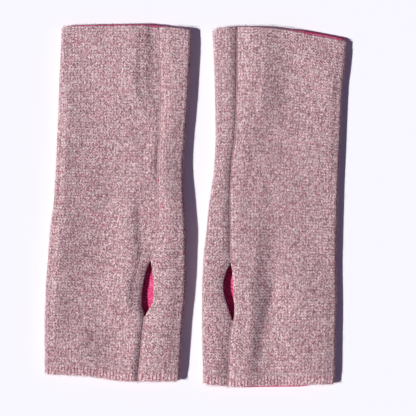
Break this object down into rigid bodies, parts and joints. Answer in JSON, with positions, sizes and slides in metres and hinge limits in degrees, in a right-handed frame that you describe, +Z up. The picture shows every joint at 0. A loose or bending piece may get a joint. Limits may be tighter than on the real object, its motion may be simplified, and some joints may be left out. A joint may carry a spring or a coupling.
{
  "type": "pair of fingerless knitted mittens",
  "caption": "Pair of fingerless knitted mittens laid flat, each a two-faced heather tube with a hot pink inside, a front seam and a thumb slit.",
  "frame": {"origin": "on the surface the pair lies on, under the middle of the pair's box", "axes": "+X across the pair towards the right mitten's outer side, +Y along the mittens from the finger hems to the forearm hems, +Z up from the surface"},
  "size_m": [0.1948, 0.2342, 0.0102],
  "materials": {
    "heather_knit": "soft matte heather knit in pale rose and taupe with darker rose flecks",
    "pink_knit": "soft matte hot pink knit"
  },
  "bodies": {
    "root": {"left_outer_knit": "heather_knit", "left_inner_knit": "pink_knit", "right_outer_knit": "heather_knit", "right_inner_knit": "pink_knit"}
  },
  "joints": []
}
